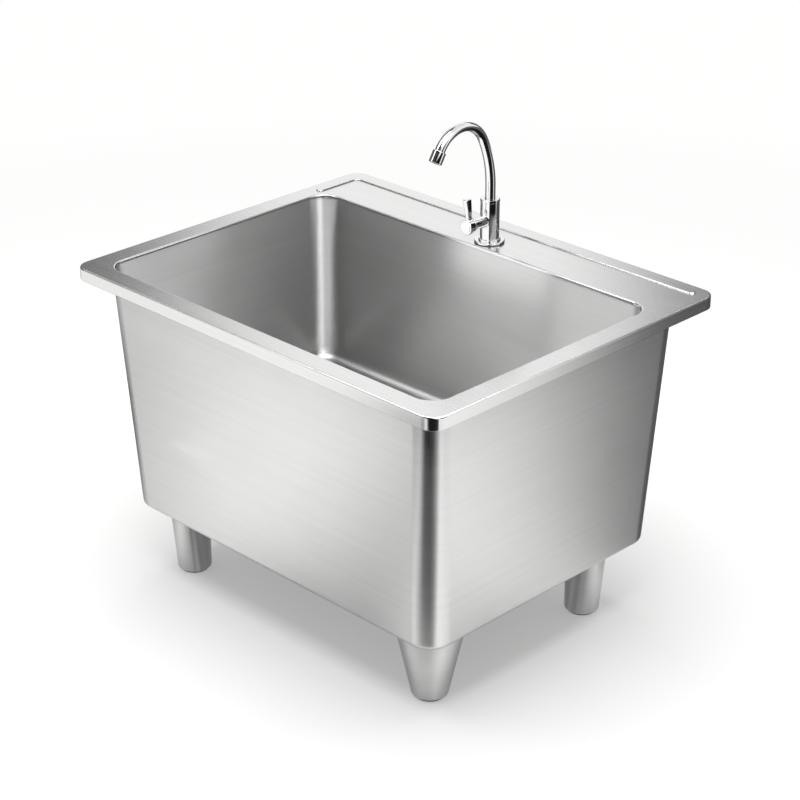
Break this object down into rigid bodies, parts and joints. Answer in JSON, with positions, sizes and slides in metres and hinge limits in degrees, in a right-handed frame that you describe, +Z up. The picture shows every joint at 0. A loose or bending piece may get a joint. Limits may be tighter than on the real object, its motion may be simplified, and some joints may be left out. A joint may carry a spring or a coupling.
{
  "type": "cleanroom sink",
  "caption": "Free-standing double-skin stainless sink with a deep bowl, a rear deck with a swivel swan-neck tap, a lift-out strainer and short adjustable legs.",
  "frame": {"origin": "on the floor, under the centre of the rim's rectangle, which is the centre of the object's box", "axes": "+Z up, +X to the right along the rim's long side as seen from the user's side, +Y from the user towards the tap deck"},
  "size_m": [0.76, 0.6, 0.7339],
  "materials": {
    "satin_steel": "satin stainless sheet, finely brushed",
    "polished_steel": "polished stainless",
    "mill_steel": "dull rolled stainless",
    "zinc_steel": "zinc-plated steel",
    "chrome_plate": "bright chrome on brass",
    "turned_brass": "turned brass",
    "black_rubber": "matt black rubber",
    "grey_nylon": "grey moulded nylon",
    "white_plastic": "white moulded plastic",
    "white_ceramic": "ground white ceramic"
  },
  "bodies": {
    "tub": {"rim_deck": "satin_steel", "bowl": "satin_steel", "casing": "satin_steel", "deck_backing_plate": "mill_steel", "leg_bolts": "zinc_steel", "leg_nuts": "zinc_steel", "drain_body": "polished_steel", "drain_seal": "black_rubber", "drain_locknut": "grey_nylon", "tailpiece": "polished_steel", "tailpiece_washer": "black_rubber", "tailpiece_nut": "grey_nylon", "tap_base_seal": "black_rubber", "tap_flange": "chrome_plate", "tap_body": "chrome_plate", "tap_shank": "turned_brass", "tap_rubber_washer": "black_rubber", "tap_steel_washer": "mill_steel", "tap_locknut": "turned_brass", "valve_seat_seal": "black_rubber", "valve_fixed_disc": "white_ceramic", "valve_cartridge": "turned_brass", "valve_bonnet": "chrome_plate", "spout_bush": "white_plastic", "spout_collar": "chrome_plate", "leg_front_left": "satin_steel", "corner_plate_front_left": "mill_steel", "foot_bush_front_left": "zinc_steel", "leg_front_right": "satin_steel", "corner_plate_front_right": "mill_steel", "foot_bush_front_right": "zinc_steel", "leg_back_left": "satin_steel", "corner_plate_back_left": "mill_steel", "foot_bush_back_left": "zinc_steel", "leg_back_right": "satin_steel", "corner_plate_back_right": "mill_steel", "foot_bush_back_right": "zinc_steel"},
    "spout": {"spout": "chrome_plate", "spout_orings": "black_rubber", "aerator_shell": "chrome_plate", "aerator_washer": "black_rubber", "aerator_insert": "white_plastic"},
    "handle": {"handle": "chrome_plate", "handle_screw": "zinc_steel", "handle_cap": "chrome_plate", "valve_spindle": "turned_brass", "valve_moving_disc": "white_ceramic"},
    "strainer": {"strainer_basket": "polished_steel", "strainer_stopper": "black_rubber", "strainer_post": "polished_steel"},
    "foot_front_left": {"foot_stud_front_left": "zinc_steel", "foot_pad_front_left": "black_rubber"},
    "foot_front_right": {"foot_stud_front_right": "zinc_steel", "foot_pad_front_right": "black_rubber"},
    "foot_back_left": {"foot_stud_back_left": "zinc_steel", "foot_pad_back_left": "black_rubber"},
    "foot_back_right": {"foot_stud_back_right": "zinc_steel", "foot_pad_back_right": "black_rubber"}
  },
  "joints": [
    {"name": "spout_swivel", "type": "hinge", "parent": "tub", "child": "spout", "pos_m": [0, 0.217, 0.6], "axis": [0, 0, 1], "continuous": true},
    {"name": "handle_turn", "type": "hinge", "parent": "tub", "child": "handle", "pos_m": [0, 0.167, 0.5625], "axis": [0, -1, 0], "range_deg": [0, 90]},
    {"name": "strainer_lift", "type": "slide", "parent": "tub", "child": "strainer", "axis": [0, 0, 1], "range_m": [0, 0.07]},
    {"name": "foot_level_front_left", "type": "slide", "parent": "tub", "child": "foot_front_left", "axis": [0, 0, -1], "range_m": [0, 0.015]},
    {"name": "foot_level_front_right", "type": "slide", "parent": "tub", "child": "foot_front_right", "axis": [0, 0, -1], "range_m": [0, 0.015]},
    {"name": "foot_level_back_left", "type": "slide", "parent": "tub", "child": "foot_back_left", "axis": [0, 0, -1], "range_m": [0, 0.015]},
    {"name": "foot_level_back_right", "type": "slide", "parent": "tub", "child": "foot_back_right", "axis": [0, 0, -1], "range_m": [0, 0.015]}
  ]
}
